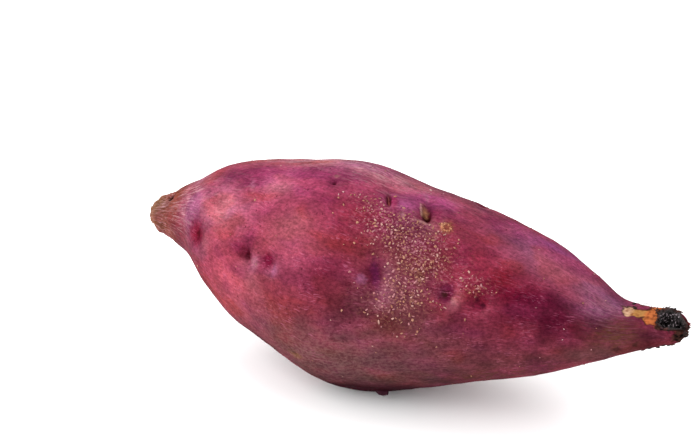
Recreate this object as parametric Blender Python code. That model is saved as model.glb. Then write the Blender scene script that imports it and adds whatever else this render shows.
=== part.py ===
"""One whole sweet potato, lying on its belly.

A storage root is a single grown body: a fat spindle with a corky stub at the stalk end, a snapped,
hollow tail at the other, and a skin with sunken eyes. X runs along the root from stub to tail,
Z is up, and the origin is on the ground, the middle of the small flat spot that the root rests on.
Shapes below are worked out in millimetres and scaled to metres when the mesh is made.
A place on the skin is given as x along the root and a turn round it in degrees:
0 is the front, 90 the top, 180 the back and -90 the belly.
"""

import math

import bmesh
import bpy
import numpy as np
from mathutils import Vector, noise

MM = 0.001

# Driving dimensions, in millimetres: each row is a cross-section of the root, given as its place
# along X, half its width, half its height, the height of its middle and its sideways bend.
# The belly reaches a little below the ground, and is cut flat there.
SECTIONS = (
    (-75.0, 4.4, 4.4, 36.6, 0.8),
    (-69.0, 5.6, 5.4, 37.4, 0.6),
    (-63.0, 8.8, 8.6, 38.4, 0.4),
    (-57.0, 12.2, 12.0, 38.8, 0.0),
    (-49.0, 18.2, 17.8, 38.2, -0.4),
    (-38.0, 24.0, 23.4, 36.6, -0.8),
    (-23.0, 28.8, 28.2, 34.6, -1.0),
    (-5.0, 33.0, 32.6, 32.0, -0.8),
    (11.0, 30.8, 30.2, 31.2, -0.4),
    (25.0, 27.6, 27.0, 32.2, 0.0),
    (41.0, 23.2, 22.6, 33.2, 0.2),
    (55.0, 18.6, 18.2, 33.6, 0.0),
    (67.0, 13.0, 12.8, 33.8, -0.4),
    (77.0, 8.2, 8.0, 33.8, -0.8),
    (87.0, 5.8, 5.7, 36.6, -1.2),
    (91.0, 5.1, 5.0, 37.9, -1.3),
    (94.0, 4.8, 4.7, 38.4, -1.4),
    (96.4, 4.6, 4.5, 38.7, -1.5),
)
STUB_X, TAIL_X = SECTIONS[0][0], SECTIONS[-1][0]
STUB_ROUNDING, TAIL_ROUNDING = 5.0, 5.0  # how far back the rounded ends reach
TIP_RIM = 0.15  # how far short of the tail's end the rim of its hollow runs
NECK_X = 75.0  # the rings lean over towards the slanting break from here on

# The belly grew fuller where it lay on hard ground, under the middle of the root's weight:
# place, turn, half length, half width and height.
RESTING_SWELL = (4.0, -90.0, 15.0, 10.0, 1.3)

# The break at the tail: a notch torn out of its top, past a plane across the root and one that
# runs along it. Each plane is a point and the way that it faces.
ACROSS_THE_NOTCH = ((88.0, -3.0, 41.5), (0.90, 0.34, 0.20))
ALONG_THE_NOTCH = ((93.0, -5.7, 39.4), (0.20, -0.27, 0.91))
BREAK_RAGGED, BREAK_TEETH = 0.35, 2.2  # how uneven its rim is, and how many teeth it has
HOLLOW_AXIS = (0.50, -0.20, 0.84)  # the way the hollow opens
HOLLOW_DEPTH = 5.0
HOLLOW_LIP, HOLLOW_FLOOR = 0.16, 0.55  # shares of the way in where its wall begins and ends

# The strip beside the break where the skin is torn off: place, turn, half length, half width, depth.
PEEL = (83.5, 75.0, 5.4, 3.4, 0.5)

# Eyes, the small sunken scars where side roots grew: place, turn, half length, half width, depth.
EYES_IN_FRONT = (
    (-65.5, 62.0, 1.3, 1.5, 1.2),
    (-46.5, 17.0, 2.2, 2.8, 1.0),
    (-25.0, 20.0, 2.2, 2.2, 1.3),
    (-16.5, 23.0, 2.2, 2.4, 0.9),
    (-8.0, -25.0, 2.2, 1.8, 0.8),
    (-7.0, 75.0, 1.2, 1.4, 0.9),
    (9.5, 77.0, 1.3, 2.6, 1.3),
    (20.5, 77.0, 1.8, 2.8, 1.7),
    (28.0, 70.0, 2.4, 2.0, 0.4),
    (14.5, 32.0, 3.0, 3.6, 0.7),
    (34.5, 26.5, 2.2, 2.6, 1.1),
    (43.5, 24.0, 1.8, 2.0, 0.8),
    (41.0, 88.0, 1.2, 1.2, 0.4),
    (55.0, 21.0, 2.8, 2.6, 0.4),
    (58.5, 37.0, 3.0, 2.4, 0.4),
)
EYES_BEHIND = (
    (-50.0, 128.0, 1.6, 2.6, 1.2),
    (-36.0, 176.0, 2.4, 2.8, 1.3),
    (-30.0, 118.0, 1.6, 2.8, 1.4),
    (-18.0, 214.0, 2.2, 2.6, 1.1),
    (2.0, 150.0, 2.6, 3.0, 1.6),
    (9.0, 156.0, 2.0, 2.4, 1.0),
    (24.0, 196.0, 1.6, 3.0, 1.5),
    (30.0, 116.0, 1.8, 2.6, 1.0),
    (46.0, 160.0, 2.0, 2.6, 1.1),
    (58.0, 222.0, 1.6, 2.2, 0.9),
)
EYES_BELOW = (
    (-40.0, -72.0, 2.2, 2.6, 1.2),
    (-26.0, -118.0, 1.6, 2.8, 1.3),
    (22.0, -100.0, 2.2, 2.6, 1.2),
    (38.0, -62.0, 1.8, 2.6, 1.0),
    (52.0, -112.0, 2.0, 2.4, 0.9),
)
EYES = EYES_IN_FRONT + EYES_BEHIND + EYES_BELOW
BROW = 0.35  # the low swollen rim round an eye, as a share of its depth

# The skin's low swellings, as (size along the root, size round it, height). They fade out where
# the root is thinner than a radius, down to a least share.
SWELLINGS = ((58.0, 24.0, 0.8), (24.0, 18.0, 0.5), (10.0, 9.0, 0.22))
SWELLING_SEED = 4.7
SWELLINGS_FADE, SWELLINGS_LEAST = 12.0, 0.2

# Lengthwise wrinkles near both ends: where they begin, where they are full, how many and how deep.
# They wander by an angle, so many times round the root, and drift as they run along it.
STUB_WRINKLES = (-56.0, -66.0, 11, 0.30)
TAIL_WRINKLES = (64.0, 84.0, 7, 0.28)
WRINKLE_WANDER, WANDERS_ROUND, WANDER_DRIFT = 0.9, 3, 0.15
WRINKLES_FADE = 4.0  # the radius below which they fade

RINGS_NOSE, RINGS_BODY, RINGS_NECK, RINGS_HOLLOW = 10, 220, 44, 16
SPOKES = 160
HALVINGS = 30  # steps of the search for the break's edge
TRIANGLES = 10500  # what the skin is thinned to

SKIN_COLOUR = (0.42, 0.085, 0.13, 1.0)
SKIN_ROUGHNESS = 0.5


def eased(share):
    """A smooth step from 0 to 1."""
    share = np.clip(share, 0, 1)
    return share * share * (3 - 2 * share)


def curve_through(knots, values, at):
    """A smooth curve through the given points."""
    slopes = np.gradient(values, knots)
    left = np.clip(np.searchsorted(knots, at) - 1, 0, len(knots) - 2)
    span = knots[left + 1] - knots[left]
    u = (at - knots[left]) / span
    return (
        values[left] * (1 + 2 * u) * (1 - u) ** 2
        + slopes[left] * span * u * (1 - u) ** 2
        + values[left + 1] * u * u * (3 - 2 * u)
        + slopes[left + 1] * span * u * u * (u - 1)
    )


def section_value(column, x):
    """One column of SECTIONS, read at x."""
    table = np.array(SECTIONS)
    return curve_through(table[:, 0], table[:, column], x)


def spindle(x, turn):
    """Points of the plain spindle, and the outward direction and radius of each."""
    half_width, half_height = section_value(1, x), section_value(2, x)
    nose = np.clip((x - STUB_X) / STUB_ROUNDING, 0, 1)
    tip = np.clip((TAIL_X - x) / TAIL_ROUNDING, 0, 1)
    blunt = np.sqrt((1 - (1 - nose) ** 2) * (1 - (1 - tip) ** 2))
    out = np.stack([np.zeros_like(x), -np.cos(turn), np.sin(turn)], axis=-1)
    radius = blunt * half_width * half_height
    radius = radius / np.hypot(half_height * np.cos(turn), half_width * np.sin(turn))
    centre = np.stack([x, section_value(4, x), section_value(3, x)], axis=-1)
    return centre + out * radius[..., None], out, radius


def swellings(points):
    """How far the skin stands out or in at each point, from a few sizes of gentle lump."""
    lift = np.zeros(points.shape[:-1])
    for along, across, height in SWELLINGS:
        scaled = points / (along, across, across) + SWELLING_SEED
        for place in np.ndindex(lift.shape):
            lift[place] += height * noise.noise(Vector(scaled[place]))
    return lift


def away(x, turn, radius, mark):
    """The distance from a mark's middle, squared, where 1 is its edge."""
    mark_x, mark_turn, half_length, half_width = mark[:4]
    apart = (turn - math.radians(mark_turn) + math.pi) % (2 * math.pi) - math.pi
    return ((x - mark_x) / half_length) ** 2 + (apart * radius / half_width) ** 2


def sunken(x, turn, radius):
    """The depth of the eyes and of the torn strip at each point."""
    far = away(x, turn, radius, PEEL)
    depth = PEEL[4] * np.exp(-(far**2))
    for eye in EYES:
        far = away(x, turn, radius, eye)
        depth += eye[4] * (np.exp(-far) - BROW * far * np.exp(-far / 1.6))
    return depth


def wrinkles(x, turn):
    """The lengthwise wrinkles of both ends at each point."""
    lift = np.zeros_like(x)
    for begin, full, count, height in (STUB_WRINKLES, TAIL_WRINKLES):
        strength = eased((x - begin) / (full - begin))
        wander = WRINKLE_WANDER * np.sin(WANDERS_ROUND * turn + WANDER_DRIFT * x)
        lift += height * strength * np.sin(count * turn + wander)
    return lift


def skin(x, turn):
    """Points of the finished skin."""
    points, out, radius = spindle(x, turn)
    slim = np.clip(radius / SWELLINGS_FADE, SWELLINGS_LEAST, 1)
    lift = swellings(points) * slim + wrinkles(x, turn) * np.clip(radius / WRINKLES_FADE, 0, 1)
    lift += RESTING_SWELL[4] * np.exp(-away(x, turn, radius, RESTING_SWELL))
    return points + out * (lift - sunken(x, turn, radius))[..., None]


def beyond(points, plane):
    """Whether points lie beyond a plane."""
    place, facing = plane
    return (points - place) @ np.array(facing) > 0


def break_edge(turn):
    """Where along X the skin ends at each turn: at the notch, or else at the tail's rounded end."""
    low = np.full_like(turn, NECK_X)
    high = np.full_like(turn, TAIL_X - TIP_RIM)
    for _ in range(HALVINGS):
        middle = (low + high) / 2
        points, _, _ = spindle(middle, turn)
        past = beyond(points, ACROSS_THE_NOTCH) & beyond(points, ALONG_THE_NOTCH)
        low, high = np.where(past, low, middle), np.where(past, middle, high)
    teeth = zip(BREAK_TEETH * np.cos(turn), BREAK_TEETH * np.sin(turn))
    ragged = [noise.noise((across, up, SWELLING_SEED)) for across, up in teeth]
    return np.minimum(low + BREAK_RAGGED * np.array(ragged), TAIL_X - TIP_RIM)


def skin_rings():
    """Every ring of the skin from the stub's nose to the break, as one array of points."""
    turn = np.linspace(0, 2 * math.pi, SPOKES, endpoint=False)
    lean = np.linspace(0, math.pi / 2, RINGS_NOSE + 1)[1:]
    nose = STUB_X + STUB_ROUNDING * (1 - np.cos(lean))
    body = np.linspace(nose[-1], NECK_X, RINGS_BODY + 1)[1:]
    plain = np.concatenate([nose, body])
    x = np.repeat(plain[:, None], SPOKES, axis=1)
    share = np.linspace(0, 1, RINGS_NECK + 1)[1:, None]
    neck = NECK_X + share * (break_edge(turn)[None, :] - NECK_X)
    x = np.concatenate([x, neck])
    return skin(x, np.repeat(turn[None, :], len(x), axis=0))


def hollow_rings(rim):
    """Rings from the rim of the break inwards: a lip, then a steep wall down to a floor."""
    deepest = HOLLOW_DEPTH * np.array(Vector(HOLLOW_AXIS).normalized())
    middle = (rim.min(axis=0) + rim.max(axis=0)) / 2
    rings = []
    for step in range(1, RINGS_HOLLOW):
        inward = step / RINGS_HOLLOW
        fall = eased((inward - HOLLOW_LIP) / (HOLLOW_FLOOR - HOLLOW_LIP))
        rings.append(rim + (middle - rim) * inward - deepest * fall)
    return np.array(rings), middle - deepest


def joined(rings, first, last):
    """A closed mesh from rings of points, with a single point at each end."""
    mesh = bmesh.new()
    loops = [[mesh.verts.new(point) for point in ring] for ring in rings]
    for near, far in zip(loops, loops[1:]):
        for i in range(SPOKES):
            j = (i + 1) % SPOKES
            mesh.faces.new((near[i], near[j], far[j], far[i]))
    for tip, loop in ((first, loops[0]), (last, loops[-1])):
        point = mesh.verts.new(tip)
        for i in range(SPOKES):
            mesh.faces.new((point, loop[i], loop[(i + 1) % SPOKES]))
    bmesh.ops.recalc_face_normals(mesh, faces=mesh.faces)
    return mesh


def thinned(obj):
    """The object's mesh thinned to TRIANGLES, keeping most of them where the skin bends."""
    thinner = obj.modifiers.new("thinner", "DECIMATE")
    thinner.ratio = TRIANGLES / (2 * len(obj.data.polygons))
    thinner.use_collapse_triangulate = True
    bpy.context.view_layer.update()
    evaluated = obj.evaluated_get(bpy.context.evaluated_depsgraph_get())
    mesh = bmesh.new()
    mesh.from_mesh(evaluated.to_mesh())
    evaluated.to_mesh_clear()
    obj.modifiers.clear()
    return mesh


def flatten_foot(mesh):
    """Cuts the belly flat at the ground and closes the cut with one face."""
    everything = mesh.verts[:] + mesh.edges[:] + mesh.faces[:]
    cut = bmesh.ops.bisect_plane(
        mesh, geom=everything, plane_co=(0, 0, 0), plane_no=(0, 0, -1), clear_outer=True
    )
    edge = [item for item in cut["geom_cut"] if isinstance(item, bmesh.types.BMEdge)]
    bmesh.ops.contextual_create(mesh, geom=edge)


def skin_material():
    """Matt rosy purple skin."""
    material = bpy.data.materials.new("skin")
    material.use_nodes = True
    shader = material.node_tree.nodes["Principled BSDF"]
    shader.inputs["Base Color"].default_value = SKIN_COLOUR
    shader.inputs["Roughness"].default_value = SKIN_ROUGHNESS
    shader.inputs["Metallic"].default_value = 0.0
    return material


def sweet_potato():
    """The whole root, as one solid."""
    rings = skin_rings()
    inner, floor = hollow_rings(rings[-1])
    tip = (STUB_X, section_value(4, np.array(STUB_X)), section_value(3, np.array(STUB_X)))
    fine = joined(np.concatenate([rings, inner]) * MM, np.array(tip) * MM, floor * MM)
    data = bpy.data.meshes.new("sweet_potato")
    fine.to_mesh(data)
    fine.free()
    obj = bpy.data.objects.new("sweet_potato", data)
    bpy.context.scene.collection.objects.link(obj)
    mesh = thinned(obj)
    flatten_foot(mesh)
    mesh.to_mesh(data)
    mesh.free()
    data.materials.append(skin_material())
    data.shade_smooth()


for old in list(bpy.data.objects):
    bpy.data.objects.remove(old)
sweet_potato()
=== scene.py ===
"""A whole raw sweet potato, lying on its belly on a plain white floor.

The root is one grown piece, so most of this file is its skin: the form, the eyes, both ends and the
colour. The small things that sit on the skin follow, then the floor, the light and the camera.
Sizes are in millimetres unless a name says otherwise, and meshes are scaled to metres at the end.
A place on the skin is given as x along the root and a turn round it in degrees:
0 is the front, 90 the top, 180 the back and -90 the belly.
"""

import math
import random

import bmesh
import bpy
import numpy as np
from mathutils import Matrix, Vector, noise


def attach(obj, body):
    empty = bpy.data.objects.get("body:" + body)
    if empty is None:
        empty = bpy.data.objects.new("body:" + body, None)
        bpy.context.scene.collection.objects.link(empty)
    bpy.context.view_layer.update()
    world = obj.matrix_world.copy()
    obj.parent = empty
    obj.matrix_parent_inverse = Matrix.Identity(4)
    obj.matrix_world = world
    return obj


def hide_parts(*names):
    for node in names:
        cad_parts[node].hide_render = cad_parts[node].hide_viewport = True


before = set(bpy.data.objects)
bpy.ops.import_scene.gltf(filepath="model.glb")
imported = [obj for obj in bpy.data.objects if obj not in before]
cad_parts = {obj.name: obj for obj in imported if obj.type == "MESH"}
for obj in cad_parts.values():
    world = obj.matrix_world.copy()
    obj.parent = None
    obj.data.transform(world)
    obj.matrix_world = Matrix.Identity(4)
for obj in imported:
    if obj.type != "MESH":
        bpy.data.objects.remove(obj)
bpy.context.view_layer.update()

# The body
# A storage root swells from a thin side root of the vine, so it is one piece from stub to tail.
# Its form is a run of oval cross-sections, each with its place along the root, half its width,
# half its height, the height of its middle and its sideways bend, with low swellings between.
MM = 0.001
SECTIONS = (
    (-75.0, 4.4, 4.4, 36.6, 0.8),
    (-69.0, 5.6, 5.4, 37.4, 0.6),
    (-63.0, 8.8, 8.6, 38.4, 0.4),
    (-57.0, 12.2, 12.0, 38.8, 0.0),
    (-49.0, 18.2, 17.8, 38.2, -0.4),
    (-38.0, 24.0, 23.4, 36.6, -0.8),
    (-23.0, 28.8, 28.2, 34.6, -1.0),
    (-5.0, 33.0, 32.6, 32.0, -0.8),
    (11.0, 30.8, 30.2, 31.2, -0.4),
    (25.0, 27.6, 27.0, 32.2, 0.0),
    (41.0, 23.2, 22.6, 33.2, 0.2),
    (55.0, 18.6, 18.2, 33.6, 0.0),
    (67.0, 13.0, 12.8, 33.8, -0.4),
    (77.0, 8.2, 8.0, 33.8, -0.8),
    (87.0, 5.8, 5.7, 36.6, -1.2),
    (91.0, 5.1, 5.0, 37.9, -1.3),
    (94.0, 4.8, 4.7, 38.4, -1.4),
    (96.4, 4.6, 4.5, 38.7, -1.5),
)
STUB_X, TAIL_X = SECTIONS[0][0], SECTIONS[-1][0]
STUB_ROUNDING, TAIL_ROUNDING = 5.0, 5.0
RESTING_SWELL = (4.0, -90.0, 15.0, 10.0, 1.3)  # where it lay on the ground: place, turn, half sizes, height
SWELLINGS = ((58.0, 24.0, 0.8), (24.0, 18.0, 0.5), (10.0, 9.0, 0.22))  # length, width, height
SWELLING_SEED = 4.7
LUMPS = ((5.0, 4.0, 0.12), (7.0, 2.0, 0.08), (2.4, 1.8, 0.05))  # the finer unevenness of the skin
SWELLINGS_FADE, LUMPS_FADE = 12.0, 6.0  # the radii below which they get lower
LEAST_SWELLINGS = 0.2  # the share of the swellings' height that is left at the thinnest


def eased(share):
    """A smooth step from 0 to 1."""
    share = np.clip(share, 0, 1)
    return share * share * (3 - 2 * share)


def section_value(column, x):
    """One column of SECTIONS, read at x off a smooth curve."""
    table = np.array(SECTIONS)
    knots, values = table[:, 0], table[:, column]
    slopes = np.gradient(values, knots)
    left = np.clip(np.searchsorted(knots, x) - 1, 0, len(knots) - 2)
    span = knots[left + 1] - knots[left]
    u = (x - knots[left]) / span
    return (
        values[left] * (1 + 2 * u) * (1 - u) ** 2
        + slopes[left] * span * u * (1 - u) ** 2
        + values[left + 1] * u * u * (3 - 2 * u)
        + slopes[left + 1] * span * u * u * (u - 1)
    )


def spindle(x, turn):
    """Points of the plain spindle, and the outward direction and radius of each."""
    half_width, half_height = section_value(1, x), section_value(2, x)
    nose = np.clip((x - STUB_X) / STUB_ROUNDING, 0, 1)
    tip = np.clip((TAIL_X - x) / TAIL_ROUNDING, 0, 1)
    blunt = np.sqrt((1 - (1 - nose) ** 2) * (1 - (1 - tip) ** 2))
    out = np.stack([np.zeros_like(x), -np.cos(turn), np.sin(turn)], axis=-1)
    radius = blunt * half_width * half_height
    radius = radius / np.hypot(half_height * np.cos(turn), half_width * np.sin(turn))
    centre = np.stack([x, section_value(4, x), section_value(3, x)], axis=-1)
    return centre + out * radius[..., None], out, radius


def grown(points, size, seed):
    """Grown unevenness at each point, from -1 to 1, with features about that size."""
    scaled = points / size + seed
    values = [noise.noise(Vector(point)) for point in scaled.reshape(-1, 3)]
    return np.array(values).reshape(points.shape[:-1])


def lumpy(points, lumps, seed):
    """How far the skin stands out or in at each point, from lumps of a few sizes."""
    lift = np.zeros(points.shape[:-1])
    for along, across, height in lumps:
        lift += height * grown(points, (along, across, across), seed)
    return lift


# The eyes
# Eyes are the sunken scars where thread-like side roots grew and broke off, in rows along the root.
# Each is its place, turn, half length, half width, depth, lean in degrees and kind of crease. A kind
# is the crease's half length, half width and depth as shares of the eye's, and its bow along and
# round the root.
SLIT = (0.42, 0.80, 1.1, 0.18, 0.0)
PIT = (0.34, 0.50, 0.9, 0.9, 0.0)
FOLD = (0.62, 0.17, 0.8, 0.0, 1.0)
SOFT = None
EYES = (
    (-65.7, 62.0, 1.2, 1.5, 0.9, 0, PIT),
    (-46.8, 15.5, 3.2, 3.6, 1.3, 0, SOFT),
    (-28.6, 21.5, 4.4, 3.0, 0.8, 14, SOFT),
    (-25.2, 19.5, 1.9, 2.6, 1.1, 24, PIT),
    (-17.4, 22.5, 2.6, 2.6, 1.0, 0, SOFT),
    (-8.0, -25.6, 2.0, 1.5, 0.5, 20, PIT),
    (-7.0, 75.5, 1.2, 1.4, 0.7, 27, PIT),
    (9.4, 77.0, 1.3, 2.9, 0.8, 27, SLIT),
    (20.6, 77.0, 2.5, 4.6, 1.3, 27, SLIT),
    (28.0, 70.0, 2.0, 2.6, -0.30, 0, SOFT),
    (14.2, 31.5, 2.8, 5.2, 1.1, 24, SOFT),
    (34.4, 26.6, 2.2, 2.8, 1.1, 20, SOFT),
    (43.5, 24.0, 2.0, 2.4, 0.6, 0, SOFT),
    (41.0, 88.0, 1.2, 1.2, 0.4, 0, SOFT),
    (55.0, 21.0, 2.8, 2.6, 0.4, 0, SOFT),
    (58.6, 36.5, 3.0, 2.4, 0.4, 0, SOFT),
    (-50.0, 128.0, 1.6, 2.8, 1.0, 12, SLIT),
    (-36.0, 176.0, 2.2, 2.8, 1.1, 0, PIT),
    (-30.0, 118.0, 1.8, 3.4, 1.1, -18, SLIT),
    (-18.0, 214.0, 2.2, 2.6, 1.0, 0, FOLD),
    (2.0, 150.0, 2.4, 4.0, 1.3, 16, SLIT),
    (9.0, 156.0, 2.0, 2.4, 0.9, 0, SOFT),
    (24.0, 196.0, 1.8, 3.6, 1.2, -12, SLIT),
    (30.0, 116.0, 1.8, 2.6, 0.9, 0, PIT),
    (46.0, 160.0, 2.0, 2.6, 1.0, 0, FOLD),
    (58.0, 222.0, 1.6, 2.2, 0.8, 0, PIT),
    (-40.0, -72.0, 2.2, 2.6, 1.0, 0, PIT),
    (-26.0, -118.0, 1.6, 3.2, 1.1, 10, SLIT),
    (22.0, -100.0, 2.2, 2.6, 1.0, 0, PIT),
    (38.0, -62.0, 1.8, 2.6, 0.8, 0, FOLD),
    (52.0, -112.0, 2.0, 2.4, 0.8, 0, PIT),
)
BROW = 0.17  # the swollen rim round an eye, as a share of its depth
CHEEK = 0.6  # how much more that rim swells on the side of the tail and the belly


def offsets(x, turn, radius, mark, lean=0.0):
    """How far along and across a leaning mark each point is, where 1 is the mark's edge."""
    mark_x, mark_turn, half_length, half_width = mark[:4]
    apart = (turn - math.radians(mark_turn) + math.pi) % (2 * math.pi) - math.pi
    along, across = x - mark_x, apart * radius
    cos, sin = math.cos(math.radians(lean)), math.sin(math.radians(lean))
    return (along * cos + across * sin) / half_length, (across * cos - along * sin) / half_width


def away(x, turn, radius, mark, lean=0.0):
    """The distance from a mark's middle, squared, where 1 is its edge."""
    along, across = offsets(x, turn, radius, mark, lean)
    return along**2 + across**2


def sunken_eyes(x, turn, radius):
    """The depth of the eyes at each point, and how far into an eye, a crease and a cheek it lies."""
    depth, in_eye, in_crease, on_cheek = (np.zeros_like(x) for _ in range(4))
    for *mark, deep, lean, crease in EYES:
        along, across = offsets(x, turn, radius, mark, lean)
        far = along**2 + across**2
        side = (along - across) / (1 + np.sqrt(far))
        rim = far * np.exp(-far / 1.6)
        depth += deep * (np.exp(-far) - BROW * (1 + CHEEK * side) * rim)
        in_eye = np.maximum(in_eye, np.exp(-far) * max(deep, 0))
        on_cheek = np.maximum(on_cheek, rim * side * max(deep, 0))
        if crease:
            length, width, deeper, bow_along, bow_round = crease
            inside = ((along - bow_along * across**2) / length) ** 2
            inside = inside + ((across - bow_round * along**2) / width) ** 2
            inside = np.exp(-(inside**1.5))
            depth += deeper * deep * inside
            in_crease = np.maximum(in_crease, inside)
    return depth, in_eye, in_crease, on_cheek


# The stub and the neck
# Both ends shrink and wrinkle lengthwise as the root dries. The stub is where the root was cut
# from the vine, and is corky. Wrinkles are where they begin, where they are full, how many, how high.
WRINKLES = ((-56.0, -66.0, 11, 0.30), (64.0, 84.0, 7, 0.28))
FINE_WRINKLES = ((-54.0, -64.0, 37, 0.12), (68.0, 84.0, 29, 0.09))
WRINKLES_SWAY = (0.9, 3, 0.15)  # by an angle, so many times round the root, with a drift along it
WRINKLES_FADE = 4.0  # the radius below which they get lower
CORK_FROM, CORK_FULL = -61.0, -71.0
CORK_LUMPS = ((2.8, 1.3, 0.7), (1.1, 0.6, 0.4))


def wrinkles(x, turn, kinds):
    """The lengthwise wrinkles of both ends at each point."""
    angle, times, drift = WRINKLES_SWAY
    lift = np.zeros_like(x)
    for begin, full, count, height in kinds:
        strength = eased((x - begin) / (full - begin))
        lift += height * strength * np.sin(count * turn + angle * np.sin(times * turn + drift * x))
    return lift


# The torn strip beside the break
# Where the tail snapped, a strip of skin tore off with it and left the flesh bare: cream at its
# far end, orange next to the break, with an island of skin left in the middle. Each patch is its
# place, turn, half length and half width.
PEEL = (83.3, 79.0, 5.2, 2.9)
PEEL_FAR_END = (80.0, 73.0, 1.7, 2.3)
PEEL_AT_BREAK = (87.0, 76.0, 2.6, 4.5)
PEEL_ON_TOP = (84.6, 116.0, 3.6, 1.0)
ISLAND = (83.2, 96.0, 2.2, 1.6)
PEEL_DEPTH = 0.5
PEEL_RAGGED = 0.27  # how far its edge strays, as a share of the patch


def bare_flesh(x, turn, radius, points):
    """How bare each point is of skin, from 0 to 1, with a ragged but sharp edge."""
    ragged = 1 + PEEL_RAGGED * grown(points, (1.6, 1.1, 1.1), 9.1)
    bare = np.zeros_like(x)
    for torn in (PEEL, PEEL_FAR_END, PEEL_AT_BREAK, PEEL_ON_TOP):
        far = np.sqrt(away(x, turn, radius, torn)) * ragged
        bare = np.maximum(bare, 1 - eased((far - 0.85) / 0.22))
    left = np.sqrt(away(x, turn, radius, ISLAND)) * ragged
    return bare * eased((left - 0.8) / 0.25)


# The break at the tail
# The tail snapped and took a notch of its top with it. The core dried back and left a hollow like a
# scoop, black with old sap, with a crust on its rim and ridges of fibre down its wall. The notch
# lies past a plane across the root and one that runs along it, each a point and its facing.
NECK_X = 75.0
ACROSS_THE_NOTCH = ((88.0, -3.0, 41.5), (0.90, 0.34, 0.20))
ALONG_THE_NOTCH = ((93.0, -5.7, 39.4), (0.20, -0.27, 0.91))
TIP_RIM = 0.15  # how far short of the tail's end the rim runs
HALVINGS = 24  # steps of the search for the break's edge
BREAK_RAGGED, BREAK_SPLINTERS = 0.35, 0.45
CRUST_THICKNESS = 0.25
CRUST_LUMPS = ((1.9, 1.7, 0.75), (0.9, 0.8, 0.5), (0.5, 0.5, 0.3))
CRUST_REACH = (1.3, 3.4, -25.0)  # least and most reach back from the rim, and the turn of the most
CRUST_STRAYS, CRUST_FADES = 0.9, 1.6  # how far its edge strays, and over what length it gives out
CRUST_WITHIN = 14.0  # no crust is as far from the tail's end as this
CRUST_FULL_RADIUS = 3.0
HOLLOW_AXIS = Vector((0.50, -0.20, 0.84)).normalized()
HOLLOW_DEPTH = 5.0
HOLLOW_LIP, HOLLOW_FLOOR = 0.26, 0.60  # the shares of the way in where the wall begins and ends
HOLLOW_ROUGH = ((0.6, 0.6, 0.55), (1.2, 1.2, 0.9), (2.4, 2.4, 1.0))
HOLLOW_RIDGES, RIDGE_HEIGHT = 17, 0.3
HOLLOW_SEED = 5.5


def beyond(points, plane):
    """Whether points lie beyond a plane."""
    place, facing = plane
    return (points - place) @ np.array(facing) > 0


def break_edge(turn):
    """Where along X the skin ends at each turn: at the notch, or else at the tail's rounded end."""
    low = np.full_like(turn, NECK_X)
    high = np.full_like(turn, TAIL_X - TIP_RIM)
    for _ in range(HALVINGS):
        middle = (low + high) / 2
        points, _, _ = spindle(middle, turn)
        past = beyond(points, ACROSS_THE_NOTCH) & beyond(points, ALONG_THE_NOTCH)
        low, high = np.where(past, low, middle), np.where(past, middle, high)
    round_rim = np.stack([np.cos(turn), np.sin(turn), np.ones_like(turn)], axis=-1)
    ragged = grown(round_rim * (2.2, 2.2, SWELLING_SEED), 1.0, 0.0)
    splinters = grown(round_rim * (9.0, 9.0, 1.0), 1.0, 3.3)
    edge = low + BREAK_RAGGED * ragged + BREAK_SPLINTERS * np.minimum(splinters, 0.1)
    return np.minimum(edge, TAIL_X - TIP_RIM)


def crust(x, turn, small):
    """How crusty each point of the skin is, from 0 to 1, near the rim of the break."""
    least, most, turn_of_most = CRUST_REACH
    share = ((1 + np.cos(turn - math.radians(turn_of_most))) / 2) ** 3
    reach = least + (most - least) * share + CRUST_STRAYS * small
    near = np.zeros_like(x)
    tail = x > TAIL_X - CRUST_WITHIN
    near[tail] = eased((x[tail] - break_edge(turn[tail]) + reach[tail]) / CRUST_FADES)
    return near


def skin(x, turn):
    """Points of the finished skin, its outward direction and radius, and the masks of its marks."""
    points, out, radius = spindle(x, turn)
    slim = np.clip(radius / SWELLINGS_FADE, LEAST_SWELLINGS, 1)
    lift = lumpy(points, SWELLINGS, SWELLING_SEED) * slim
    lift += lumpy(points, LUMPS, SWELLING_SEED) * np.clip(radius / LUMPS_FADE, 0, 1)
    lift += lumpy(points, CORK_LUMPS, SWELLING_SEED) * eased((x - CORK_FROM) / (CORK_FULL - CORK_FROM))
    lift += wrinkles(x, turn, WRINKLES + FINE_WRINKLES) * np.clip(radius / WRINKLES_FADE, 0, 1)
    lift += RESTING_SWELL[4] * np.exp(-away(x, turn, radius, RESTING_SWELL))
    depth, in_eye, in_crease, on_cheek = sunken_eyes(x, turn, radius)
    small = grown(points, 1.5, 3.8)
    bare = bare_flesh(x, turn, radius, points)
    crusty = crust(x, turn, small) * (1 - 0.8 * bare)
    crumbs = CRUST_THICKNESS + lumpy(points, CRUST_LUMPS, SWELLING_SEED)
    lift += crusty * crumbs * np.clip(radius / CRUST_FULL_RADIUS, 0, 1)
    points = points + out * (lift - depth - PEEL_DEPTH * bare)[..., None]
    points[..., 2] = np.maximum(points[..., 2], 0)
    masks = {"eye": in_eye, "crease": in_crease, "cheek": on_cheek, "bare": bare, "crust": crusty}
    return points, out, radius, masks


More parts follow.
